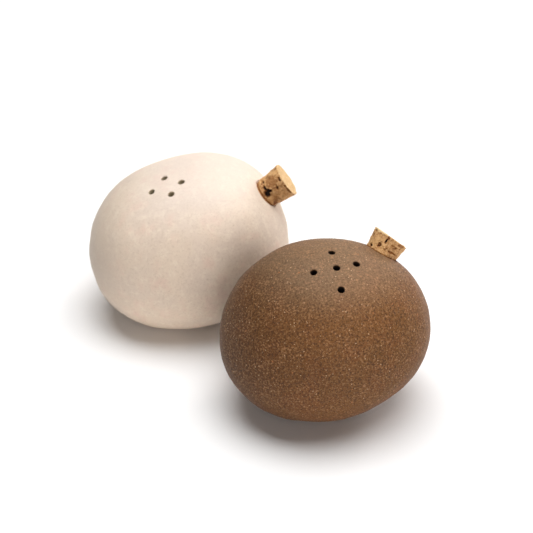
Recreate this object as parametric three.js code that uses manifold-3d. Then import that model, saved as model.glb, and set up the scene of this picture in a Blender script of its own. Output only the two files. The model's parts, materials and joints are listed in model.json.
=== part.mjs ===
// A pair of salt and pepper shakers. Each one is a hollow stoneware pebble that leans back on a small flat
// foot. It has sprinkle holes through its top, and a tapered cork stopper in the filling hole on its side.
//
// Millimetres and degrees, +Z up. The origin is on the table, in the middle of the pair.

import * as THREE from "three";
import { mergeVertices, toCreasedNormals } from "three/addons/utils/BufferGeometryUtils.js";
import Module from "manifold-3d";

const wasm = await Module();
wasm.setup();

// ---- Driving dimensions ----

const WALL = 4;
const FOOT_BLEND = 1; // the belly turns into the flat foot within this height of it
const SPRINKLE_DIAMETER = 2.5;
const STOPPER_LENGTH = 15.8;
const STOPPER_TOP_DIAMETER = 13.2;
const STOPPER_BOTTOM_DIAMETER = 9.4;
const STOPPER_CHAMFER = 0.4;
const STOPPER_GAP = 0.3; // clear space all round the stopper, in its filling hole

// Fineness of the faceted surfaces.
const OUTSIDE_DETAIL = 9;
const INSIDE_DETAIL = 5;
const SPRINKLE_SIDES = 14;
const STOPPER_SIDES = 28;
const CREASE = 30; // edges sharper than this look sharp

const CLAY_ROUGHNESS = 0.85;
const CORK_ROUGHNESS = 0.9;
const CORK_COLOUR = 0xc8a070;

const PEPPER = {
  name: "pepper",
  place: [25.4, -28.5, 0],
  middle: 29.2, // height of the pebble's middle above the table
  halfLengths: [37.9, 33.2, 31.9],
  fullness: 2.03, // 2 is an ellipsoid, and a larger power fills its corners out
  endSwell: -0.02, // the +X end is this much wider than the middle
  topSwell: -0.06, // the top is this much longer than the middle
  lean: 11.1, // the +X end is raised by this angle
  turn: 3.5, // and turned towards +Y by this one
  colour: 0x80614a,
  sprinkles: [
    // each hole's place in plan, from the pebble's middle
    [2.2, 0.9],
    [10.7, -4.2],
    [3.6, -7.2],
    [-4.3, -9.1],
    [5, -15.5],
  ],
  filling: { azimuth: 33, elevation: 44 }, // where the filling hole is, seen from the pebble's middle
  stopper: { azimuth: 39.8, elevation: 46 }, // which way the stopper points
  proud: 6.4, // how much of the stopper stands out of the pebble
};

const SALT = {
  name: "salt",
  place: [-25.4, 28.5, 0],
  middle: 28.7,
  halfLengths: [38.3, 33.4, 31.1],
  fullness: 2.29,
  endSwell: 0.043,
  topSwell: -0.037,
  lean: 13.8,
  turn: 2,
  colour: 0xe6dccf,
  sprinkles: [
    [-8.1, -2.8],
    [-1.5, -7.2],
    [-12.6, -8.8],
    [-5.1, -12.7],
  ],
  filling: { azimuth: -0.5, elevation: 35.5 },
  stopper: { azimuth: 8.7, elevation: 35.3 },
  proud: 9.2,
};

const DRILL_LENGTH = 3 * WALL; // centred on the skin, so half of it goes in
const FAR = 200; // further from a pebble's middle than any point of its skin

const X_AXIS = new THREE.Vector3(1, 0, 0);
const Y_AXIS = new THREE.Vector3(0, 1, 0);
const Z_AXIS = new THREE.Vector3(0, 0, 1);

// ---- Solids ----

// A closed geometry as a solid, moved by a matrix.
function solidOf(geometry, matrix = new THREE.Matrix4()) {
  const bare = geometry.clone().applyMatrix4(matrix);
  bare.deleteAttribute("normal");
  bare.deleteAttribute("uv");
  const merged = mergeVertices(bare);
  const vertProperties = new Float32Array(merged.attributes.position.array);
  const triVerts = new Uint32Array(merged.index.array);
  return new wasm.Manifold(new wasm.Mesh({ numProp: 3, vertProperties, triVerts }));
}

function geometryOf(solid) {
  const { vertProperties, triVerts } = solid.getMesh();
  const geometry = new THREE.BufferGeometry();
  geometry.setAttribute("position", new THREE.BufferAttribute(vertProperties, 3));
  geometry.setIndex(new THREE.BufferAttribute(triVerts, 1));
  return toCreasedNormals(geometry, THREE.MathUtils.degToRad(CREASE));
}

// A matrix that stands a lathe or cylinder, which is made along Y, at a point and along a direction.
function standing(point, direction) {
  const turn = new THREE.Quaternion().setFromUnitVectors(Y_AXIS, direction);
  return new THREE.Matrix4().compose(point, turn, new THREE.Vector3(1, 1, 1));
}

function directionOf({ azimuth, elevation }) {
  return X_AXIS.clone()
    .applyAxisAngle(Y_AXIS, -THREE.MathUtils.degToRad(elevation))
    .applyAxisAngle(Z_AXIS, THREE.MathUtils.degToRad(azimuth));
}

// ---- The stoneware pebble ----

// Heights above the floor are kept, the ones below it become the floor, and the two meet in a parabola.
function restOn(floor, height) {
  const above = height - floor;
  if (above > FOOT_BLEND) return height;
  if (above < -FOOT_BLEND) return floor;
  return floor + (above + FOOT_BLEND) ** 2 / (4 * FOOT_BLEND);
}

// Moves a point of the unit sphere to the pebble's skin, or to a skin that lies inside it by the inset.
function toPebble(point, shaker, inset) {
  const power = shaker.fullness;
  const sum = Math.abs(point.x) ** power + Math.abs(point.y) ** power + Math.abs(point.z) ** power;
  point.multiplyScalar(sum ** (-1 / power));
  const atEnd = 1 + shaker.endSwell * point.x;
  const atTop = 1 + shaker.topSwell * point.z;
  const [length, width, height] = shaker.halfLengths.map((half) => half - inset);
  point.set(length * point.x * atTop, width * point.y * atEnd * atTop, height * point.z * atEnd);
  point.applyAxisAngle(Y_AXIS, -THREE.MathUtils.degToRad(shaker.lean));
  point.applyAxisAngle(Z_AXIS, THREE.MathUtils.degToRad(shaker.turn));
  point.z = restOn(inset, point.z + shaker.middle);
  return point;
}

function pebbleGeometry(shaker, inset, detail) {
  const geometry = new THREE.IcosahedronGeometry(1, detail);
  const position = geometry.attributes.position;
  const point = new THREE.Vector3();
  for (let i = 0; i < position.count; i++) {
    toPebble(point.fromBufferAttribute(position, i), shaker, inset);
    position.setXYZ(i, point.x, point.y, point.z);
  }
  return geometry;
}

// Where a line from outside first meets the pebble: the point and the skin's outward normal.
function meetSkin(pebble, from, direction) {
  const [hit] = new THREE.Raycaster(from, direction).intersectObject(pebble);
  return { point: hit.point, normal: hit.face.normal };
}

// One sprinkle hole, square to the skin and right through the wall.
function sprinkleCutter(pebble, [x, y]) {
  const above = new THREE.Vector3(x, y, FAR);
  const { point, normal } = meetSkin(pebble, above, Z_AXIS.clone().negate());
  const radius = SPRINKLE_DIAMETER / 2;
  const drill = new THREE.CylinderGeometry(radius, radius, DRILL_LENGTH, SPRINKLE_SIDES);
  return solidOf(drill, standing(point, normal));
}

// ---- The cork stopper ----

// The stopper stands on its small end, with both rims chamfered.
function stopperGeometry() {
  const top = STOPPER_TOP_DIAMETER / 2;
  const bottom = STOPPER_BOTTOM_DIAMETER / 2;
  const profile = [
    [0, 0],
    [bottom - STOPPER_CHAMFER, 0],
    [bottom, STOPPER_CHAMFER],
    [top, STOPPER_LENGTH - STOPPER_CHAMFER],
    [top - STOPPER_CHAMFER, STOPPER_LENGTH],
    [0, STOPPER_LENGTH],
  ].map(([radius, height]) => new THREE.Vector2(radius, height));
  return new THREE.LatheGeometry(profile, STOPPER_SIDES);
}

// The filling hole follows the stopper's taper, with the gap all round it.
function fillingCutter(matrix) {
  const top = STOPPER_TOP_DIAMETER / 2 + STOPPER_GAP;
  const bottom = STOPPER_BOTTOM_DIAMETER / 2 + STOPPER_GAP;
  const cone = new THREE.CylinderGeometry(top, bottom, STOPPER_LENGTH, STOPPER_SIDES);
  cone.translate(0, STOPPER_LENGTH / 2, 0);
  return solidOf(cone, matrix);
}

// The matrix that seats the stopper, so that its top stands proud of the pebble's skin.
function stopperSeat(pebble, shaker) {
  const outwards = directionOf(shaker.filling);
  const middle = new THREE.Vector3(0, 0, shaker.middle);
  const outside = middle.addScaledVector(outwards, FAR);
  const { point } = meetSkin(pebble, outside, outwards.clone().negate());
  const axis = directionOf(shaker.stopper);
  const foot = point.addScaledVector(axis, shaker.proud - STOPPER_LENGTH);
  return standing(foot, axis);
}

// ---- Assembly ----

function namedMesh(name, geometry, color, roughness) {
  const material = new THREE.MeshStandardMaterial({ color, roughness, metalness: 0 });
  const mesh = new THREE.Mesh(geometry, material);
  mesh.name = name;
  return mesh;
}

function shakerGroup(shaker) {
  const skin = pebbleGeometry(shaker, 0, OUTSIDE_DETAIL);
  const pebble = new THREE.Mesh(skin, new THREE.MeshStandardMaterial());
  const seat = stopperSeat(pebble, shaker);

  const cutters = shaker.sprinkles.map((place) => sprinkleCutter(pebble, place));
  cutters.push(fillingCutter(seat));
  cutters.push(solidOf(pebbleGeometry(shaker, WALL, INSIDE_DETAIL)));
  const clay = cutters.reduce((solid, cutter) => solid.subtract(cutter), solidOf(skin));
  const shell = namedMesh(`${shaker.name}_shell`, geometryOf(clay), shaker.colour, CLAY_ROUGHNESS);

  const cork = geometryOf(solidOf(stopperGeometry()));
  const stopper = namedMesh(`${shaker.name}_stopper`, cork, CORK_COLOUR, CORK_ROUGHNESS);
  stopper.applyMatrix4(seat);

  const group = new THREE.Group();
  group.add(shell, stopper);
  group.position.set(...shaker.place);
  return group;
}

const shakers = new THREE.Group();
shakers.add(shakerGroup(PEPPER), shakerGroup(SALT));

// The middle of the pair's outline in plan is the origin.
const outline = new THREE.Box3().setFromObject(shakers, true);
const middle = outline.getCenter(new THREE.Vector3());
shakers.children.forEach((shaker) => shaker.position.sub(middle.setZ(0)));

export default shakers;
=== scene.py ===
# The looks of a pair of salt and pepper shakers. Each one is a hollow stoneware pebble, with sprinkle holes
# through its top and a cork stopper in the filling hole on its side. Lengths are in metres, in the frame of
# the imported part, and every shape is worked out from its CAD node.

import json
import math
from collections import namedtuple

import bmesh
import bpy
import numpy as np
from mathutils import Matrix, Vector


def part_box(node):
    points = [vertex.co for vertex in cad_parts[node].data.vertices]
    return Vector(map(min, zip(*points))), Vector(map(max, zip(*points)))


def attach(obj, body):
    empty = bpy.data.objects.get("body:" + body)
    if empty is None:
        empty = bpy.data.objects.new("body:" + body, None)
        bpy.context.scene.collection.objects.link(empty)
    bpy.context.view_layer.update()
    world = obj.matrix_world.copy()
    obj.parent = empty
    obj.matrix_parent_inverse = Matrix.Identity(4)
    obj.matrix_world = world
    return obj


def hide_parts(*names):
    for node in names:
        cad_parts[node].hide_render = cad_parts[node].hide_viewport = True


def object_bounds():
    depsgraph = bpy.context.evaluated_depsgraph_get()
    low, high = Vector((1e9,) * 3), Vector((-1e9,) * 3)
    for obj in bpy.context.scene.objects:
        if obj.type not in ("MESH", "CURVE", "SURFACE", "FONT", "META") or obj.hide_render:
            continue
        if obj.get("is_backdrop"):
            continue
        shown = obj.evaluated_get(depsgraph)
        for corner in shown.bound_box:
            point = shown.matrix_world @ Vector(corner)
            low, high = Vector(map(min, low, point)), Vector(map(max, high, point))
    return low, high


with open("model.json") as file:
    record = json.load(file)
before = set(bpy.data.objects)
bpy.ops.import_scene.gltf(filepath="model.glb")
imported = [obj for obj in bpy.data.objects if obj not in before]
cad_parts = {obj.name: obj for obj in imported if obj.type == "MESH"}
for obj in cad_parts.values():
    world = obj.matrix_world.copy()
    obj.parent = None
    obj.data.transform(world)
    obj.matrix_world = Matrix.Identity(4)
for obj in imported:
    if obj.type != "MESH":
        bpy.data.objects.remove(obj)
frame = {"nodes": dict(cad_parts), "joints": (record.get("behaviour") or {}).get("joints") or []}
cad_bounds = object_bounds()

MM = 0.001
UPRIGHT = 0.999  # an axis whose Z is above this counts as upright

# ---- Random fields ----

WAVE_COUNT = 24  # a field is the sum of this many waves
WAVE_LENGTHS = (0.75, 1.5)  # their lengths, as shares of the field's own wavelength

# Each field adds one of these to its shaker's seed, so that no two are alike.
BORE_SEED = 10
MOUTH_SEED = 20
PORE_SEED = 50
RAGGED_SEED = 51
GRAIN_SEED = 55

# ---- Stoneware shells ----

SKIN_DIVISIONS = 7  # about 0.65 mm between the points of a shell's skin
LINING_DIVISIONS = 6
RIM_BAND = 1.0 * MM  # edges this near to a hole's rim are split
RIM_CUTS = 3
SKIN_DEGREE = 6  # the skins are fitted with polynomials of this degree
FOOT_BLEND = 1.0 * MM  # the belly turns into the flat foot within this height of it
RELIEF = [(17 * MM, 0.10 * MM), (7 * MM, 0.035 * MM), (2.6 * MM, 0.012 * MM)]  # wavelength and height

SKIN_FACING = 0.5  # cosine with the way out: above this for the outer skin, below minus this for the inner
HOLE_SPACING = 3 * MM  # the walls of two holes are further apart than this
HOLE_REACH = 8 * MM  # deeper than any hole, but not as deep as the far side of the pebble
SPRINKLE_ROUND = 0.3 * MM
FILLING_ROUND = 0.5 * MM
BORE_SPAN = (-7 * MM, 2 * MM)  # heights of a sprinkle hole's cutter, from the skin
BORE_ROWS = 12
BORE_COLUMNS = 64
MOUTH_START = -3 * MM  # where the filling hole's cutter starts, from the stopper's small end
MOUTH_ROWS = 24
MOUTH_COLUMNS = 128
STOPPER_FIT = 0.08 * MM  # clear space round a stopper, in its filling hole
WALL_UNEVEN = (2.5 * MM, 0.012)  # wavelength, and height as a share of the hole's radius
DUST_AND_SHADE_DEPTH = 0.6 * MM  # from here on, a sprinkle hole is as dark as it gets, with dust and painted shade
DUST_AND_SHADE_SPREAD = 1.15  # the dust and painted shade reach this many radii from a sprinkle hole's axis
SLIVER = 0.003 * MM  # edges shorter than this are closed up after a cut
SHARP_ANGLE = 50  # edges sharper than this look sharp

# ---- Cork stoppers ----

CORK_COLUMNS = 240
CORK_RIM = 0.35 * MM
CORK_CENTRE = 0.2 * MM  # radius of the face that closes each end
SMALL_END_ROWS = 24
RIM_ROWS = 6
SIDE_ROWS = 110
TOP_ROWS = 40
CHAMFER_CLEAR = 0.1 * MM  # the CAD stopper's side is read this far from its ends
CORK_GRAIN = [(2.4 * MM, 0.05 * MM), (0.9 * MM, 0.03 * MM)]  # wavelength and height
RAGGED_EDGES = [(1.4 * MM, 0.13), (0.5 * MM, 0.08)]  # wavelength, and share of a mark's size
MARK_EDGE = (0.6, 1.05)  # a mark fades out between these shares of its size
ISLAND_EDGE = (-0.25, 0.1)  # and its island between these ones, from the island's own share
MARK_DEPTH = 2.5 * MM  # a mark goes no further in than this
LIP_HALF_HEIGHT = 0.55 * MM
LIP_FACING = (-0.2, 0.9)  # cosines with the lip's angle, between which it swells from nothing to full
CUT_END_FACING = (0.6, 0.95)  # cosines with the cork's axis, between which its side turns into its cut end
ASKEW_DEPTH = 5 * MM  # the cut of the top is taken up within this length
CONTACT_SHADE_HEIGHTS = (-0.3 * MM, 0.6 * MM)  # painted contact shade round a cork: heights from the skin, full at the first, gone at the second
# How dark the painted contact shade gets.
CONTACT_SHADE_DARKNESS = 0.48

# The random pores of a cork, in millimetres. Their sizes start at the smallest, and spread over this much.
PORE_COUNT = 110
PORE_SMALLEST = 0.1
PORE_SPREAD = 0.32

# A mark in a cork, in degrees and millimetres. It lies at an angle round the cork and some way below its
# top, with a half height, a half width and a depth. Its darkness is 1 for black, a half for brown and less
# than 0 for pale; the pale mark is partly a worn edge and partly a painted highlight. An island is the
# share of its middle that is left standing.
Mark = namedtuple("Mark", "angle below half_height half_width deep darkness island", defaults=[0])

# The lip is the swell that the rim of the filling hole squeezes out of a cork, most of all at this angle.
# Askew is how far the top of the cork drops, towards this angle.
PEPPER = {
    "name": "pepper",
    "clay": "dark_stoneware",
    "seed": 100,
    "lip": {"angle": 110, "height": 8.6 * MM, "swell": 0.15 * MM},
    "askew": {"angle": 210, "drop": 0.7 * MM},
    "marks": [
        Mark(74, 6.5, 0.65, 0.85, 1.0, 1.0),
        Mark(105, 4.7, 0.95, 0.95, 0.6, 0.95, 0.45),
        Mark(105, 4.7, 0.6, 0.6, 0.3, 0.45),
        Mark(122, 0.7, 1.3, 0.55, 0.5, 0.6),
        Mark(120, 2.3, 1.0, 0.55, 0.9, 1.0),
        Mark(158, 5.05, 0.5, 2.0, 0.3, 0.6),
        Mark(161, 2.6, 0.55, 0.6, 0.3, 0.65),
        Mark(148, 2.4, 0.5, 1.5, 0.1, 0.35),
        Mark(173, 0.7, 1.0, 1.8, 0.05, 0.35),
        Mark(66, 1.1, 0.7, 0.6, 0.15, 0.25),
        Mark(64, 2.5, 0.45, 0.4, 0.2, 0.5),
        Mark(160, 3.4, 4.2, 3.6, 0, 0.14),
        # A pale rim on the lit side: partly a worn edge, partly a painted highlight.
        Mark(84, 0, 0.9, 4.2, 0, -1),
    ],
}
SALT = {
    "name": "salt",
    "clay": "pale_stoneware",
    "seed": 200,
    "lip": {"angle": 120, "height": 7.0 * MM, "swell": 0.4 * MM},
    "askew": {"angle": 200, "drop": 0.6 * MM},
    "marks": [
        Mark(146, 8.2, 1.6, 1.8, 1.8, 1.0),
        Mark(157, 8.8, 1.2, 1.5, 1.6, 1.0),
        Mark(127, 8.15, 0.7, 1.4, 0.9, 0.9),
        Mark(100, 7.8, 0.6, 0.8, 0.5, 0.85),
        Mark(154, 4.0, 0.75, 0.8, 0.45, 0.8),
        Mark(135, 1.1, 0.65, 1.0, 0.45, 0.85),
        Mark(182, 0.6, 0.45, 2.2, 0.35, 0.55),
        Mark(164, 0.7, 0.5, 0.7, 0.3, 0.6),
        Mark(85, 1.1, 0.7, 0.8, 0.3, 0.8),
        Mark(121, 4.6, 3.2, 3.4, 0, 0.3),
        Mark(160, 5.5, 2.8, 2.2, 0, 0.2),
        Mark(190, 6.8, 1.6, 2.2, 0.05, 0.3),
        Mark(212, 8.4, 0.9, 1.6, 0.1, 0.6),
    ],
}

# ---- Colours ----

SPECK_EDGE = 0.12  # a speck's soft edge, as a share of the spacing between specks
PAINTED_SHADE_SIDE = (-8 * MM, 32 * MM)  # painted shade: the dark shaker is painted darkest on its -X side, where less light falls, and fades to its own colour
SHADED = (-64 * MM, -42 * MM)  # and the pale one has the same painted shade
SHEEN_HEIGHTS = (48 * MM, 61 * MM)  # painted sheen: both are painted lighter and greyer between these heights, where the lamps light the top

# ---- Camera, light and floor ----

CAMERA_AIM = Vector((4.8, 8.7, 30)) * MM
CAMERA_ELEVATION = 34.5
CAMERA_DISTANCE = 640 * MM
CAMERA_LENS = 115  # this and the sensor's width are in millimetres, as Blender has them
CAMERA_SENSOR = 36
CAMERA_CLIP = (0.01, 50)
CAMERA_FOCUS = Vector((4.8, 8.7, 110)) * MM  # above the pair, so the front shaker is the sharper one
CAMERA_STOP = 20
LAMP_DISTANCE = 1.2
BLUSH = (1.0, 0.93, 0.9)  # the fill is warm, which shows in the shadows
FLOOR_RADIUS = 6
FLOOR_SIDES = 96
FLOOR_FADE = (0.2, 0.45)  # distances from the middle between which paper turns into glow
SURROUND_FILL = 0.08  # how strongly the white surround lights things
REFLECTED_SIDES = (-0.6, 0.4)  # the X of a reflected ray, from where it sees nothing to where it sees all


# ---- Mesh helpers ----


def unit(vectors):
    return vectors / np.linalg.norm(vectors, axis=-1, keepdims=True)


def smooth_step(low, high, values):
    share = np.clip((values - low) / (high - low), 0, 1)
    return share * share * (3 - 2 * share)


def waves(points, wavelength, seed):
    """A smooth random field of about unit height, with bumps of about the wavelength."""
    random = np.random.default_rng(seed)
    directions = unit(random.normal(size=(WAVE_COUNT, 3)))
    lengths = wavelength * random.uniform(*WAVE_LENGTHS, WAVE_COUNT)
    phases = random.uniform(0, 2 * math.pi, WAVE_COUNT)
    turns = points @ (directions / lengths[:, None]).T * 2 * math.pi + phases
    return np.sin(turns).sum(axis=1) * math.sqrt(2 / WAVE_COUNT)


def summed_waves(points, octaves, seed):
    """Random fields added up, one for each wavelength and height."""
    return sum(height * waves(points, length, seed + i) for i, (length, height) in enumerate(octaves))


def mesh_points(mesh):
    flat = np.empty(len(mesh.vertices) * 3)
    mesh.vertices.foreach_get("co", flat)
    return flat.reshape(-1, 3)


def set_mesh_points(mesh, points):
    mesh.vertices.foreach_set("co", points.ravel())
    mesh.update()


def add_attribute(mesh, label, values):
    attribute = mesh.attributes.new(label, "FLOAT", "POINT")
    attribute.data.foreach_set("value", values.astype(np.float32))


def new_object(name, data):
    """Puts a new object in the scene. Its data is a mesh, a light, a camera or None."""
    thing = bpy.data.objects.new(name, data)
    bpy.context.scene.collection.objects.link(thing)
    return thing


def lathe_faces(rows, columns):
    """Quads between rows of points round an axis. The first and last rows are closed with one face."""
    grid = np.arange(rows * columns).reshape(rows, columns)
    right = np.roll(grid, -1, axis=1)
    quads = np.stack([grid[:-1], right[:-1], right[1:], grid[1:]], axis=-1).reshape(-1, 4)
    return quads.tolist() + [grid[0][::-1].tolist(), grid[-1].tolist()]


def lathe_points(profile, columns):
    """Points round +Z, for rows of (radius, height)."""
    angles = np.linspace(0, 2 * math.pi, columns, endpoint=False)
    radius, height = np.array(profile).T
    x = np.outer(radius, np.cos(angles))
    y = np.outer(radius, np.sin(angles))
    z = np.repeat(height[:, None], columns, axis=1)
    return np.stack([x, y, z], axis=-1).reshape(-1, 3)


def lathe_normals(profile, columns):
    """Outward directions at the points of a lathed profile."""
    along = np.gradient(np.array(profile), axis=0)
    return lathe_points(unit(np.stack([along[:, 1], -along[:, 0]], axis=1)), columns)


def axes_of(axis):
    """A level direction, a steep one and the axis itself. If the axis is almost upright, level is +X."""
    upright = abs(axis[2]) > UPRIGHT
    level = np.array((1.0, 0, 0)) if upright else unit(np.cross((0, 0, 1), axis))
    return np.array([level, np.cross(axis, level), axis])


# ---- Reading the CAD nodes ----


def triangles_of(node):
    """The corners and the normals of a CAD node's triangles."""
    mesh = frame["nodes"][node].data
    mesh.calc_loop_triangles()
    corners = mesh_points(mesh)[np.array([t.vertices for t in mesh.loop_triangles])]
    normals = np.cross(corners[:, 1] - corners[:, 0], corners[:, 2] - corners[:, 0])
    real = np.linalg.norm(normals, axis=1) > 0
    return corners[real], unit(normals[real])


def clusters(points, reach):
    """Splits points into groups that lie further than the reach from each other."""
    left = np.arange(len(points))
    found = []
    while len(left):
        group = left[:1]
        while True:
            gaps = np.linalg.norm(points[left][:, None] - points[group][None], axis=-1).min(axis=1)
            grown = left[gaps < reach]
            if len(grown) == len(group):
                break
            group = grown
        found.append(group)
        left = np.setdiff1d(left, group)
    return found


def hole_of(corners, middle):
    """A hole's centre on the skin, its outward axis and its radius, from the triangles of its wall."""
    points = corners.reshape(-1, 3)
    away = np.linalg.norm(points - middle, axis=1)
    outer = away > (away.min() + away.max()) / 2
    centre = points[outer].mean(axis=0)
    axis = unit(centre - points[~outer].mean(axis=0))
    offsets = points[outer] - centre
    radius = np.linalg.norm(offsets - np.outer(offsets @ axis, axis), axis=1).mean()
    return {"point": centre, "axis": axis, "radius": radius}


def powers(directions):
    """Every product of x, y and z of the two highest degrees. On a sphere they stand for the lower ones."""
    x, y, z = directions.T
    columns = [
        x**i * y**j * z ** (degree - i - j)
        for degree in (SKIN_DEGREE, SKIN_DEGREE - 1)
        for i in range(degree + 1)
        for j in range(degree + 1 - i)
    ]
    return np.stack(columns, axis=1)


def fitted_skin(corners, middle):
    """A smooth closed skin through a shell's outer or inner triangles, flat where they are flat."""
    points = corners.reshape(-1, 3)
    floor = points[:, 2].min()
    away = points[points[:, 2] > floor + FOOT_BLEND] - middle
    radius = np.linalg.norm(away, axis=1)
    size = radius.mean()
    weights = np.linalg.lstsq(powers(away / radius[:, None]), (size / radius) ** 2, rcond=None)[0]

    def skin(directions, relief=0):
        """Where the skin lies in these directions, raised by the relief."""
        reach = size / np.sqrt(powers(directions) @ weights) + relief
        placed = middle + directions * reach[:, None]
        above = placed[:, 2] - floor
        blended = (above + FOOT_BLEND) ** 2 / (4 * FOOT_BLEND)
        rested = np.where(above > FOOT_BLEND, above, np.where(above < -FOOT_BLEND, 0, blended))
        placed[:, 2] = floor + rested
        return placed

    return skin


def read_shell(node):
    """A shell's middle, its outer and inner skins, and its holes. The filling hole is the widest one."""
    corners, normals = triangles_of(node)
    low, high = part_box(node)
    middle = np.array((low + high) / 2)
    facing = (normals * unit(corners.mean(axis=1) - middle)).sum(axis=1)
    walls = corners[abs(facing) < SKIN_FACING]
    groups = clusters(walls.mean(axis=1), HOLE_SPACING)
    holes = sorted((hole_of(walls[group], middle) for group in groups), key=lambda hole: hole["radius"])
    return {
        "middle": middle,
        "outside": fitted_skin(corners[facing > SKIN_FACING], middle),
        "inside": fitted_skin(corners[facing < -SKIN_FACING], middle),
        "sprinkles": holes[:-1],
        "filling": holes[-1],
    }


def read_stopper(node, joint_name):
    """Where a stopper stands, its axes, how long it is, and its radius from height 0 up."""
    joint = next(j for j in frame["joints"] if j["name"] == joint_name)
    axes = axes_of(unit(np.array(joint["axis"], float)))
    local = mesh_points(frame["nodes"][node].data) @ axes.T
    low, high = local.min(axis=0), local.max(axis=0)
    foot = np.array([*(low[:2] + high[:2]) / 2, low[2]])
    local -= foot
    length = high[2] - low[2]
    radius = np.hypot(local[:, 0], local[:, 1])
    side = (local[:, 2] > CHAMFER_CLEAR) & (local[:, 2] < length - CHAMFER_CLEAR)
    slope, bottom = np.polyfit(local[side, 2], radius[side], 1)
    return {"foot": foot @ axes, "axes": axes, "length": length, "slope": slope, "bottom": bottom}


def stopper_radius(stopper, height):
    """A stopper's radius at a height above its small end."""
    return stopper["bottom"] + stopper["slope"] * height


# ---- Building the shells ----


def from_axis(points, hole):
    """How far points are from a hole's axis, and how high they are above its centre on the skin."""
    away = points - hole["point"]
    height = away @ hole["axis"]
    return np.linalg.norm(away - np.outer(height, hole["axis"]), axis=1), height


def split_rims(grown, skin, holes):
    """Splits the edges of a sphere that are near the rims of the holes, once it is moved to the skin."""
    for hole in holes:
        points = skin(unit(np.array([v.co for v in grown.verts])))
        gap, height = from_axis(points, hole)
        near = (abs(gap - hole["radius"]) < RIM_BAND) & (height > -HOLE_REACH)
        grown.verts.ensure_lookup_table()
        edges = [e for e in grown.edges if near[e.verts[0].index] and near[e.verts[1].index]]
        bmesh.ops.subdivide_edges(grown, edges=edges, cuts=RIM_CUTS, use_grid_fill=True)
        grown.verts.index_update()
    bmesh.ops.triangulate(grown, faces=grown.faces)


def sphere_mesh(name, divisions, skin, holes):
    """A sphere of the given fineness, finer near the rims of the holes."""
    grown = bmesh.new()
    bmesh.ops.create_icosphere(grown, subdivisions=divisions, radius=1)
    split_rims(grown, skin, holes)
    mesh = bpy.data.meshes.new(name)
    grown.to_mesh(mesh)
    grown.free()
    return mesh


def sink_rims(points, holes, width):
    """Rounds the skin over into each hole."""
    for hole in holes:
        gap, height = from_axis(points, hole)
        share = np.clip((hole["radius"] + width - gap) / width, 0, 1)
        sunk = width * (1 - np.sqrt(1 - share**2)) * (height > -HOLE_REACH)
        points -= np.outer(sunk, hole["axis"])


def lining_piece(shell):
    """The hollow, as a solid."""
    mesh = sphere_mesh("hollow", LINING_DIVISIONS, shell["inside"], [])
    set_mesh_points(mesh, shell["inside"](unit(mesh_points(mesh))))
    return new_object("hollow", mesh)


def skin_piece(name, shell, seed):
    """The pebble as a solid, with its relief and with the skin sunk where the holes will be cut."""
    mesh = sphere_mesh(name, SKIN_DIVISIONS, shell["outside"], [*shell["sprinkles"], shell["filling"]])
    directions = unit(mesh_points(mesh))
    relief = summed_waves(shell["outside"](directions), RELIEF, seed)
    points = shell["outside"](directions, relief)
    sink_rims(points, shell["sprinkles"], SPRINKLE_ROUND)
    sink_rims(points, [shell["filling"]], FILLING_ROUND)
    set_mesh_points(mesh, points)
    return new_object(name, mesh)


def bore_cutter(profile, foot, axes, seed, columns):
    """A closed cutter round an axis, with a slightly uneven wall."""
    points = lathe_points(profile, columns)
    wavelength, share = WALL_UNEVEN
    uneven = 1 + share * waves(points, wavelength, seed)
    points[:, :2] *= uneven[:, None]
    mesh = bpy.data.meshes.new("bore")
    mesh.from_pydata((foot + points @ axes).tolist(), [], lathe_faces(len(profile), columns))
    return new_object("bore", mesh)


def sprinkle_cutter(hole, seed):
    """A sprinkle hole's cutter, which is straight."""
    profile = [(hole["radius"], height) for height in np.linspace(*BORE_SPAN, BORE_ROWS)]
    return bore_cutter(profile, hole["point"], axes_of(hole["axis"]), seed, BORE_COLUMNS)


def filling_cutter(stopper, seed):
    """The filling hole's cutter, which follows the stopper's taper."""
    heights = np.linspace(MOUTH_START, stopper["length"], MOUTH_ROWS)
    profile = [(stopper_radius(stopper, height) + STOPPER_FIT, height) for height in heights]
    return bore_cutter(profile, stopper["foot"], stopper["axes"], seed, MOUTH_COLUMNS)


def remove_slivers(mesh):
    """Turns a cut mesh into triangles, and merges the ones that are too thin to keep."""
    grown = bmesh.new()
    grown.from_mesh(mesh)
    bmesh.ops.triangulate(grown, faces=grown.faces)
    bmesh.ops.dissolve_degenerate(grown, edges=grown.edges, dist=SLIVER)
    bmesh.ops.remove_doubles(grown, verts=grown.verts, dist=SLIVER)
    bmesh.ops.triangulate(grown, faces=grown.faces)
    grown.to_mesh(mesh)
    grown.free()


def cut(piece, cutters):
    """Takes the cutters out of the piece, and deletes them."""
    for cutter in cutters:
        modifier = piece.modifiers.new("cut", "BOOLEAN")
        modifier.operation = "DIFFERENCE"
        modifier.solver = "MANIFOLD"
        modifier.object = cutter
    graph = bpy.context.evaluated_depsgraph_get()
    mesh = bpy.data.meshes.new_from_object(piece.evaluated_get(graph))
    remove_slivers(mesh)
    piece.modifiers.clear()
    piece.data = mesh
    for cutter in cutters:
        bpy.data.objects.remove(cutter)


def mark_dust_and_shade(mesh, holes):
    """Marks the points inside the sprinkle holes, which dust and painted shade darken."""
    points = mesh_points(mesh)
    dark = np.zeros(len(points))
    for hole in holes:
        gap, height = from_axis(points, hole)
        inside = (gap < DUST_AND_SHADE_SPREAD * hole["radius"]) & (height > -HOLE_REACH)
        dark = np.maximum(dark, inside * smooth_step(0, DUST_AND_SHADE_DEPTH, -height))
    add_attribute(mesh, "dark", dark)


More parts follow.
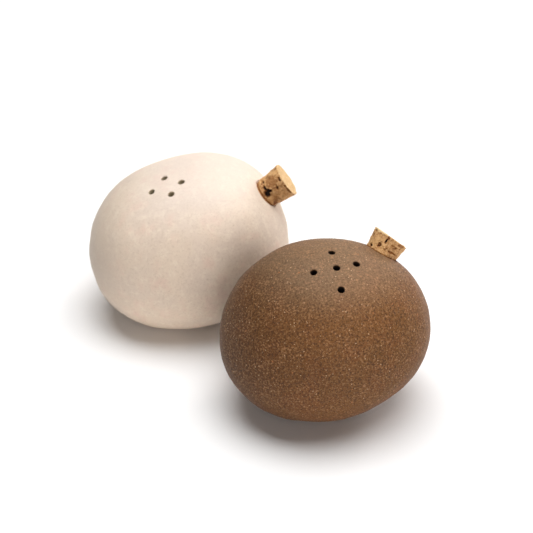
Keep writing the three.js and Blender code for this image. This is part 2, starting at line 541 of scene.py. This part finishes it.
def pebble_piece(name, shell, stopper, seed):
    """One pebble: its skin, less its hollow, its sprinkle holes and its filling hole."""
    piece = skin_piece(name, shell, seed)
    cutters = [lining_piece(shell)]
    for index, hole in enumerate(shell["sprinkles"]):
        cutters.append(sprinkle_cutter(hole, seed + BORE_SEED + index))
    cutters.append(filling_cutter(stopper, seed + MOUTH_SEED))
    cut(piece, cutters)
    # Dust and painted shade inside the sprinkle holes.
    mark_dust_and_shade(piece.data, shell["sprinkles"])
    piece.data.shade_smooth()
    piece.data.set_sharp_from_angle(angle=math.radians(SHARP_ANGLE))
    return piece


# ---- Building the corks ----


def cork_profile(stopper):
    """Rows of (radius, height), from the middle of the small end to the middle of the top."""
    length, bottom = stopper["length"], stopper["bottom"]
    top = stopper_radius(stopper, length)
    turn = np.linspace(0, math.pi / 2, RIM_ROWS)
    inset = CORK_RIM * (1 - np.sin(turn))
    rise = CORK_RIM * (1 - np.cos(turn))
    small_end = np.linspace(CORK_CENTRE, bottom - CORK_RIM, SMALL_END_ROWS, endpoint=False)
    side = np.linspace(CORK_RIM, length - CORK_RIM, SIDE_ROWS)[1:-1]
    top_end = np.linspace(top - CORK_RIM, CORK_CENTRE, TOP_ROWS)[1:]
    return [
        *((radius, 0) for radius in small_end),
        *zip(bottom - inset, rise),
        *((stopper_radius(stopper, height), height) for height in side),
        *zip(top - rise, length - inset),
        *((radius, length) for radius in top_end),
    ]


def random_pores(length, seed):
    """Small marks all over a cork's side. Most of them are tiny."""
    random = np.random.default_rng(seed)
    for _ in range(PORE_COUNT):
        size = PORE_SMALLEST + PORE_SPREAD * random.random() ** 3
        yield Mark(
            angle=random.uniform(0, 360),
            below=random.uniform(0.2, length / MM - 0.3),
            half_height=size * random.uniform(0.5, 1),
            half_width=size * random.uniform(0.8, 2.2),
            deep=size * random.uniform(0.4, 1),
            darkness=random.uniform(0.25, 0.8),
        )


def mark_shape(points, ragged, stopper, mark):
    """How much of a mark there is at each point: 1 in its middle, and 0 outside it."""
    turn = math.radians(mark.angle)
    height = stopper["length"] - mark.below * MM
    outward = np.array((math.cos(turn), math.sin(turn), 0))
    sideways = np.array((-math.sin(turn), math.cos(turn), 0))
    away = points - outward * stopper_radius(stopper, height) - np.array((0, 0, height))
    spread = np.hypot(away[:, 2] / (mark.half_height * MM), away @ sideways / (mark.half_width * MM))
    spread = spread + ragged
    shape = (1 - smooth_step(*MARK_EDGE, spread)) * (away @ outward >= -MARK_DEPTH)
    if mark.island:
        low, high = ISLAND_EDGE
        shape = shape * smooth_step(mark.island + low, mark.island + high, spread)
    return shape


def pressed_marks(points, stopper, marks, seed):
    """How deep, how dark and how pale the marks make each point of a cork. The pale one is partly a worn
    edge and partly a painted highlight.
    """
    depth = np.zeros(len(points))
    dark = np.zeros(len(points))
    pale = np.zeros(len(points))
    ragged = summed_waves(points, RAGGED_EDGES, seed)
    for mark in marks:
        shape = mark_shape(points, ragged, stopper, mark)
        depth = np.maximum(depth, shape * mark.deep * MM)
        dark = np.maximum(dark, shape * mark.darkness)
        pale = np.maximum(pale, -shape * mark.darkness)
    return depth, dark, pale


def squeeze(shaped, points, lip):
    """Swells a cork above the rim of its hole, most of all on one side."""
    angles = np.arctan2(points[:, 1], points[:, 0])
    facing = smooth_step(*LIP_FACING, np.cos(angles - math.radians(lip["angle"])))
    swell = lip["swell"] * facing * np.exp(-(((points[:, 2] - lip["height"]) / LIP_HALF_HEIGHT) ** 2))
    shaped[:, :2] *= 1 + (swell / np.hypot(points[:, 0], points[:, 1]))[:, None]


def cut_askew(shaped, points, stopper, askew):
    """Makes the top of a cork lower on one side."""
    length = stopper["length"]
    turn = math.radians(askew["angle"])
    downhill = points[:, :2] @ np.array((math.cos(turn), math.sin(turn)))
    share = (1 + downhill / stopper_radius(stopper, length)) / 2
    shaped[:, 2] -= askew["drop"] * share * smooth_step(length - ASKEW_DEPTH, length, points[:, 2])


def contact_shade(points, shell):
    """A ring of painted shade where a cork passes through a shell's skin."""
    away = points - shell["middle"]
    above = np.linalg.norm(away, axis=1)
    above -= np.linalg.norm(shell["outside"](unit(away)) - shell["middle"], axis=1)
    low, high = CONTACT_SHADE_HEIGHTS
    return CONTACT_SHADE_DARKNESS * smooth_step(2 * low, low, above) * (1 - smooth_step(0, high, above))


def cork_piece(name, shaker, stopper, shell):
    """One cork: pitted, grained, squeezed by its hole and cut a little askew."""
    profile = cork_profile(stopper)
    points = lathe_points(profile, CORK_COLUMNS)
    normals = lathe_normals(profile, CORK_COLUMNS)
    marks = [*shaker["marks"], *random_pores(stopper["length"], shaker["seed"] + PORE_SEED)]
    depth, dark, pale = pressed_marks(points, stopper, marks, shaker["seed"] + RAGGED_SEED)
    depth = depth + summed_waves(points, CORK_GRAIN, shaker["seed"] + GRAIN_SEED)
    shaped = points - normals * depth[:, None]
    squeeze(shaped, points, shaker["lip"])
    cut_askew(shaped, points, stopper, shaker["askew"])
    placed = stopper["foot"] + shaped @ stopper["axes"]
    mesh = bpy.data.meshes.new(name)
    mesh.from_pydata(placed.tolist(), [], lathe_faces(len(profile), CORK_COLUMNS))
    # The dark marks, and a ring of painted contact shade where the cork meets the skin.
    add_attribute(mesh, "dark", np.maximum(dark, contact_shade(placed, shell)))
    add_attribute(mesh, "pale", pale)
    add_attribute(mesh, "cut_end", smooth_step(*CUT_END_FACING, abs(normals[:, 2])))
    mesh.shade_smooth()
    return new_object(name, mesh)


# ---- Materials ----


class Nodes:
    """Adds shader nodes to a material or world. An input may be a value or another node's output."""

    def __init__(self, owner):
        self.owner = owner
        owner.use_nodes = True
        self.tree = owner.node_tree
        self.tree.nodes.clear()

    def add(self, kind, inputs=None, **settings):
        """Adds one node. Its settings are its own properties, and its inputs go by name or number."""
        node = self.tree.nodes.new("ShaderNode" + kind)
        for key, value in settings.items():
            setattr(node, key, value)
        for key, value in (inputs or {}).items():
            if isinstance(value, bpy.types.NodeSocket):
                self.tree.links.new(value, node.inputs[key])
            else:
                node.inputs[key].default_value = value
        return node

    def place(self):
        """Where on its object a point is."""
        return self.add("TexCoord").outputs["Object"]

    def along(self, axis, place):
        """One coordinate of a place."""
        return self.add("SeparateXYZ", {"Vector": place}).outputs[axis]

    def marked(self, label):
        """The value that a mesh attribute has here."""
        return self.add("Attribute", attribute_name=label).outputs["Fac"]

    def noise(self, place, size, detail=2.0, roughness=0.5):
        """A random field between 0 and 1, with bumps of about this size."""
        inputs = {"Vector": place, "Scale": 1 / size, "Detail": detail, "Roughness": roughness}
        return self.add("TexNoise", inputs).outputs["Fac"]

    def range(self, value, low, high, to_low=0.0, to_high=1.0):
        """The value, taken smoothly from one range to another."""
        inputs = {"Value": value, "From Min": low, "From Max": high, "To Min": to_low, "To Max": to_high}
        return self.add("MapRange", inputs, interpolation_type="SMOOTHSTEP").outputs["Result"]

    def math(self, operation, first, second):
        return self.add("Math", {0: first, 1: second}, operation=operation).outputs[0]

    def times(self, first, second):
        return self.math("MULTIPLY", first, second)

    def mix(self, share, colour, over, blend="MIX"):
        """The colour, with this share of another one over it."""
        # The node has sockets of several types: these are the numbers of the ones for colours.
        inputs = {0: share, 6: colour, 7: over}
        return self.add("Mix", inputs, data_type="RGBA", blend_type=blend).outputs[2]

    def layer(self, colour, over, where, share):
        """The colour, with up to this share of another one over it."""
        return self.mix(self.times(where, share), colour, over)

    def cloud(self, colour, over, noise, low, high, share=1.0):
        """The colour, with up to this share of another one where the noise is high."""
        return self.mix(self.range(noise, low, high, 0.0, share), colour, over)

    def speckles(self, place, spacing, smallest, largest, share):
        """Round specks of random size, in this share of the cells that lie about the spacing apart."""
        inputs = {"Vector": place, "Scale": 1 / spacing, "Randomness": 1.0}
        cells = self.add("TexVoronoi", inputs).outputs
        random = self.add("SeparateColor", {"Color": cells["Color"]}).outputs["Red"]
        size = self.range(random, 1 - share, 1.0, smallest, largest)
        speck = self.range(self.math("SUBTRACT", size, cells["Distance"]), 0.0, SPECK_EDGE)
        chosen = self.math("GREATER_THAN", random, 1 - share)
        return self.times(speck, chosen)

    def darkened(self, colour, stain_and_shade, darkest):
        """The colour, tinted by the half-dark colour and then turned to the darkest one where the mesh says
        so. The mesh marks real marks, stains and dust, and painted shade in holes and where a cork meets a
        skin.
        """
        dark = self.marked("dark")
        half_darkened = self.mix(self.range(dark, 0.0, 0.5), colour, stain_and_shade, "MULTIPLY")
        return self.mix(self.range(dark, 0.5, 1.0), half_darkened, darkest)

    def finish(self, colour, roughness, height, bump, specular, sheen=0.0):
        """Puts the surface together. The bump is how far apart the heights 0 and 1 lie."""
        raised = self.add("Bump", {"Height": height, "Strength": 1.0, "Distance": bump})
        inputs = {
            "Base Color": colour,
            "Roughness": roughness,
            "Normal": raised.outputs["Normal"],
            "Specular IOR Level": specular,
            "Sheen Weight": sheen,
            "Sheen Roughness": 0.35,
        }
        shader = self.add("BsdfPrincipled", inputs)
        self.add("OutputMaterial", {"Surface": shader.outputs["BSDF"]})
        return self.owner


def rgb(red, green, blue):
    """A colour in linear light, solid."""
    return (red, green, blue, 1.0)


def dark_stoneware():
    """Brown clay with painted shade on one side and a painted sheen on top, with pale grog, rusty embers
    and dark pits.
    """
    nodes = Nodes(bpy.data.materials.new("dark_stoneware"))
    place = nodes.place()
    broad = nodes.noise(place, 24 * MM, 3.0)
    rust = nodes.noise(place, 11 * MM, 4.0, 0.6)
    # Painted shade: darker towards -X, where less light reaches.
    painted_shade = nodes.range(nodes.along("X", place), *PAINTED_SHADE_SIDE, 0.65, 0.0)
    # Painted sheen: lighter and greyer towards the top, where the lamps light it.
    top = nodes.range(nodes.along("Z", place), *SHEEN_HEIGHTS)
    colour = nodes.cloud(rgb(0.138, 0.057, 0.012), rgb(0.172, 0.069, 0.016), broad, 0.3, 0.7)
    colour = nodes.cloud(colour, rgb(0.180, 0.060, 0.016), rust, 0.48, 0.62, 0.35)
    # Painted shade towards -X.
    colour = nodes.mix(painted_shade, colour, rgb(0.070, 0.028, 0.006))
    # Painted sheen on top.
    colour = nodes.layer(colour, rgb(0.325, 0.262, 0.178), top, 0.27)

    # Fine mottling: the light part comes in patches, and the dark part is weaker under the painted sheen on
    # top.
    mottle = nodes.noise(place, 0.7 * MM, 4.0, 0.75)
    patches = nodes.range(nodes.noise(place, 5 * MM, 3.0), 0.3, 0.7, 0.3, 0.6)
    light = nodes.times(nodes.range(mottle, 0.48, 0.62), patches)
    shade = nodes.range(nodes.noise(place, 0.6 * MM, 4.0, 0.7), 0.48, 0.6, 0.0, 0.75)
    shade = nodes.times(shade, nodes.range(top, 0.0, 1.0, 1.0, 0.55))
    colour = nodes.mix(light, colour, rgb(0.480, 0.245, 0.110))
    colour = nodes.mix(shade, colour, rgb(0.040, 0.016, 0.006))

    grog = nodes.speckles(place, 1.1 * MM, 0.08, 0.24, 0.5)
    embers = nodes.speckles(place, 2.3 * MM, 0.06, 0.2, 0.35)
    pits = nodes.speckles(place, 1.9 * MM, 0.08, 0.2, 0.35)
    colour = nodes.layer(colour, rgb(0.58, 0.38, 0.215), grog, 0.95)
    colour = nodes.layer(colour, rgb(0.38, 0.14, 0.045), embers, 0.8)
    colour = nodes.layer(colour, rgb(0.025, 0.011, 0.006), pits, 0.85)
    # Dust and painted shade, nearly black, inside the sprinkle holes.
    colour = nodes.darkened(colour, rgb(0.35, 0.3, 0.25), rgb(0.015, 0.006, 0.003))

    roughness = nodes.range(mottle, 0.3, 0.7, 0.75, 0.62)
    grain = nodes.noise(place, 0.5 * MM, 4.0, 0.6)
    height = nodes.math("SUBTRACT", nodes.math("ADD", grain, grog), nodes.times(pits, 1.5))
    return nodes.finish(colour, roughness, height, 0.04 * MM, specular=0.28, sheen=0.05)


def pale_stoneware():
    """Cream clay with pink and pale clouds and a few flecks, with painted shade on one side and a painted
    sheen on top.
    """
    nodes = Nodes(bpy.data.materials.new("pale_stoneware"))
    place = nodes.place()
    broad = nodes.noise(place, 16 * MM, 2.0)
    blush = nodes.noise(place, 8 * MM, 3.0)
    pale = nodes.noise(place, 2.5 * MM, 4.0, 0.6)
    grain = nodes.noise(place, 0.8 * MM, 4.0, 0.7)
    flecks = nodes.speckles(place, 2.4 * MM, 0.06, 0.18, 0.35)
    # Painted sheen: lighter and greyer towards the top.
    painted_sheen = nodes.range(nodes.along("Z", place), *SHEEN_HEIGHTS, 0.0, 0.4)
    # Painted shade: darker towards -X.
    shaded = nodes.range(nodes.along("X", place), *SHADED, 0.55, 0.0)
    colour = nodes.cloud(rgb(0.73, 0.60, 0.49), rgb(0.78, 0.64, 0.505), broad, 0.35, 0.65)
    colour = nodes.cloud(colour, rgb(0.76, 0.56, 0.46), blush, 0.5, 0.75, 0.7)
    colour = nodes.cloud(colour, rgb(0.86, 0.745, 0.60), pale, 0.48, 0.7, 0.5)
    colour = nodes.cloud(colour, rgb(0.58, 0.45, 0.34), grain, 0.48, 0.65, 0.39)
    colour = nodes.layer(colour, rgb(0.42, 0.30, 0.20), flecks, 0.4)
    # Painted sheen on top.
    colour = nodes.mix(painted_sheen, colour, rgb(0.80, 0.70, 0.64))
    # Painted shade on the -X side.
    colour = nodes.mix(shaded, colour, rgb(0.50, 0.41, 0.33))
    # Dust and painted shade, olive grey, inside the sprinkle holes.
    colour = nodes.darkened(colour, rgb(0.82, 0.80, 0.72), rgb(0.52, 0.45, 0.32))
    roughness = nodes.range(grain, 0.3, 0.7, 0.7, 0.55)
    return nodes.finish(colour, roughness, grain, 0.02 * MM, specular=0.28, sheen=0.05)


def cork_end(nodes, place):
    """The colour of a cut end of cork: smoother and paler than its side, with small pores."""
    grain = nodes.noise(place, 1.3 * MM, 4.0, 0.7)
    pores = nodes.speckles(place, 1.7 * MM, 0.05, 0.17, 0.4)
    colour = nodes.cloud(rgb(0.62, 0.405, 0.185), rgb(0.745, 0.52, 0.27), grain, 0.42, 0.6)
    return nodes.layer(colour, rgb(0.22, 0.10, 0.035), pores, 0.65)


def cork():
    """Cork with darker streaks, dark marks, a pale mark that is partly a worn edge and partly a painted
    highlight, painted contact shade, and its own colour at the ends.
    """
    nodes = Nodes(bpy.data.materials.new("cork"))
    place = nodes.place()
    broad = nodes.noise(place, 4 * MM, 3.0)
    grain = nodes.noise(place, 0.7 * MM, 4.0, 0.7)
    streaks = nodes.noise(place, 1.6 * MM, 4.0, 0.7)
    colour = nodes.cloud(rgb(0.50, 0.250, 0.090), rgb(0.68, 0.39, 0.16), broad, 0.3, 0.7)
    colour = nodes.cloud(colour, rgb(0.80, 0.52, 0.25), grain, 0.42, 0.62, 0.8)
    colour = nodes.cloud(colour, rgb(0.28, 0.115, 0.035), streaks, 0.5, 0.66, 0.8)
    # The pale marks: a worn edge painted lighter, partly as a highlight.
    colour = nodes.layer(colour, rgb(0.88, 0.68, 0.37), nodes.marked("pale"), 0.85)
    colour = nodes.layer(colour, cork_end(nodes, place), nodes.marked("cut_end"), 0.85)
    # Real marks and pores, and the painted contact shade where the cork meets the skin.
    colour = nodes.darkened(colour, rgb(0.42, 0.27, 0.16), rgb(0.012, 0.005, 0.002))
    return nodes.finish(colour, 0.75, grain, 0.06 * MM, specular=0.3)


def paint(piece, material):
    """Gives a mesh object its only material."""
    piece.data.materials.clear()
    piece.data.materials.append(material)


# ---- The two shakers ----


def set_piece(piece, materials, slot, body, node):
    """Gives a piece its material, attaches it to the body it rides on, and hides the CAD node that it
    stands in for.
    """
    paint(piece, materials[slot])
    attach(piece, body)
    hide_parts(node)


def build_shaker(shaker, materials):
    """Builds one shaker's pebble and cork, each on its own body in place of its CAD node."""
    name = shaker["name"]
    stopper = read_stopper(f"{name}_stopper", f"{name}_stopper_pull")
    shell = read_shell(f"{name}_shell")
    pebble = pebble_piece(f"{name}_pebble", shell, stopper, shaker["seed"])
    set_piece(pebble, materials, shaker["clay"], f"{name}_shaker", f"{name}_shell")
    plug = cork_piece(f"{name}_cork", shaker, stopper, shell)
    set_piece(plug, materials, "cork", f"{name}_stopper", f"{name}_stopper")


# ---- Floor, light and camera ----


def floor():
    """White paper that fades into an even white glow, so that it has no horizon."""
    grown = bmesh.new()
    bmesh.ops.create_circle(grown, cap_ends=True, segments=FLOOR_SIDES, radius=FLOOR_RADIUS)
    mesh = bpy.data.meshes.new("floor")
    grown.to_mesh(mesh)
    grown.free()
    piece = new_object("floor", mesh)
    nodes = Nodes(bpy.data.materials.new("floor"))
    paper = nodes.add("BsdfDiffuse", {"Color": rgb(0.93, 0.93, 0.93)})
    glow = nodes.add("Emission", {"Color": rgb(1, 1, 1), "Strength": 1.0})
    away = nodes.add("VectorMath", {0: nodes.place()}, operation="LENGTH").outputs["Value"]
    far = nodes.range(away, *FLOOR_FADE)
    sweep = nodes.add("MixShader", {0: far, 1: paper.outputs["BSDF"], 2: glow.outputs["Emission"]})
    nodes.add("OutputMaterial", {"Surface": sweep.outputs["Shader"]})
    paint(piece, nodes.owner)
    piece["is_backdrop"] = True


def white_world():
    """A white surround. It lights things weakly, and its reflection fades out towards -X."""
    nodes = Nodes(bpy.data.worlds.new("surround"))
    bpy.context.scene.world = nodes.owner
    path = nodes.add("LightPath").outputs
    towards = nodes.add("TexCoord").outputs["Generated"]
    reflected = nodes.range(nodes.along("X", towards), *REFLECTED_SIDES)
    reflected = nodes.times(reflected, path["Is Glossy Ray"])
    seen = nodes.math("MAXIMUM", reflected, path["Is Camera Ray"])
    strength = nodes.math("MAXIMUM", seen, SURROUND_FILL)
    background = nodes.add("Background", {"Color": rgb(1, 1, 1), "Strength": strength})
    nodes.add("OutputWorld", {"Surface": background.outputs["Background"]})


def stand_off(thing, aim, direction, distance):
    """Puts a lamp or camera this far from its aim, and turns it to face it."""
    thing.location = aim + direction * distance
    thing.rotation_mode = "QUATERNION"
    thing.rotation_quaternion = (-direction).to_track_quat("-Z", "Y")


def soft_light(name, azimuth, elevation, size, power, colour=(1, 1, 1)):
    """An oval lamp that faces the pair from this direction. Azimuths are measured from +X towards +Y."""
    light = bpy.data.lights.new(name, "AREA")
    light.shape = "ELLIPSE"
    light.size, light.size_y = size
    light.energy = power
    light.color = colour
    turn, rise = math.radians(azimuth), math.radians(elevation)
    towards = Vector((math.cos(rise) * math.cos(turn), math.cos(rise) * math.sin(turn), math.sin(rise)))
    stand_off(new_object(name, light), Vector(), towards, LAMP_DISTANCE)


def camera():
    """The scene's camera. It stands in front of the pair, and looks along +Y and down."""
    focus = new_object("focus", None)
    focus.location = CAMERA_FOCUS
    lens = bpy.data.cameras.new("camera")
    lens.lens = CAMERA_LENS
    lens.sensor_width = CAMERA_SENSOR
    lens.clip_start, lens.clip_end = CAMERA_CLIP
    lens.dof.use_dof = True
    lens.dof.focus_object = focus
    lens.dof.aperture_fstop = CAMERA_STOP
    viewer = new_object("camera", lens)
    elevation = math.radians(CAMERA_ELEVATION)
    back = Vector((0, -math.cos(elevation), math.sin(elevation)))
    stand_off(viewer, CAMERA_AIM, back, CAMERA_DISTANCE)
    bpy.context.scene.camera = viewer


# A material for each material slot of the record.
finishes = {"dark_stoneware": dark_stoneware(), "pale_stoneware": pale_stoneware(), "cork": cork()}
for pepper_or_salt in (PEPPER, SALT):
    build_shaker(pepper_or_salt, finishes)
floor()
white_world()
soft_light("overhead", azimuth=60, elevation=82, size=(1.6, 0.9), power=19.3)
soft_light("back_fill", azimuth=45, elevation=20, size=(0.6, 0.6), power=5, colour=BLUSH)
soft_light("front_fill", azimuth=284, elevation=12, size=(0.6, 0.6), power=4.6, colour=BLUSH)
camera()
bpy.context.scene.view_settings.view_transform = "Standard"

[[list(corner) for corner in bounds] for bounds in (cad_bounds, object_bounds())]
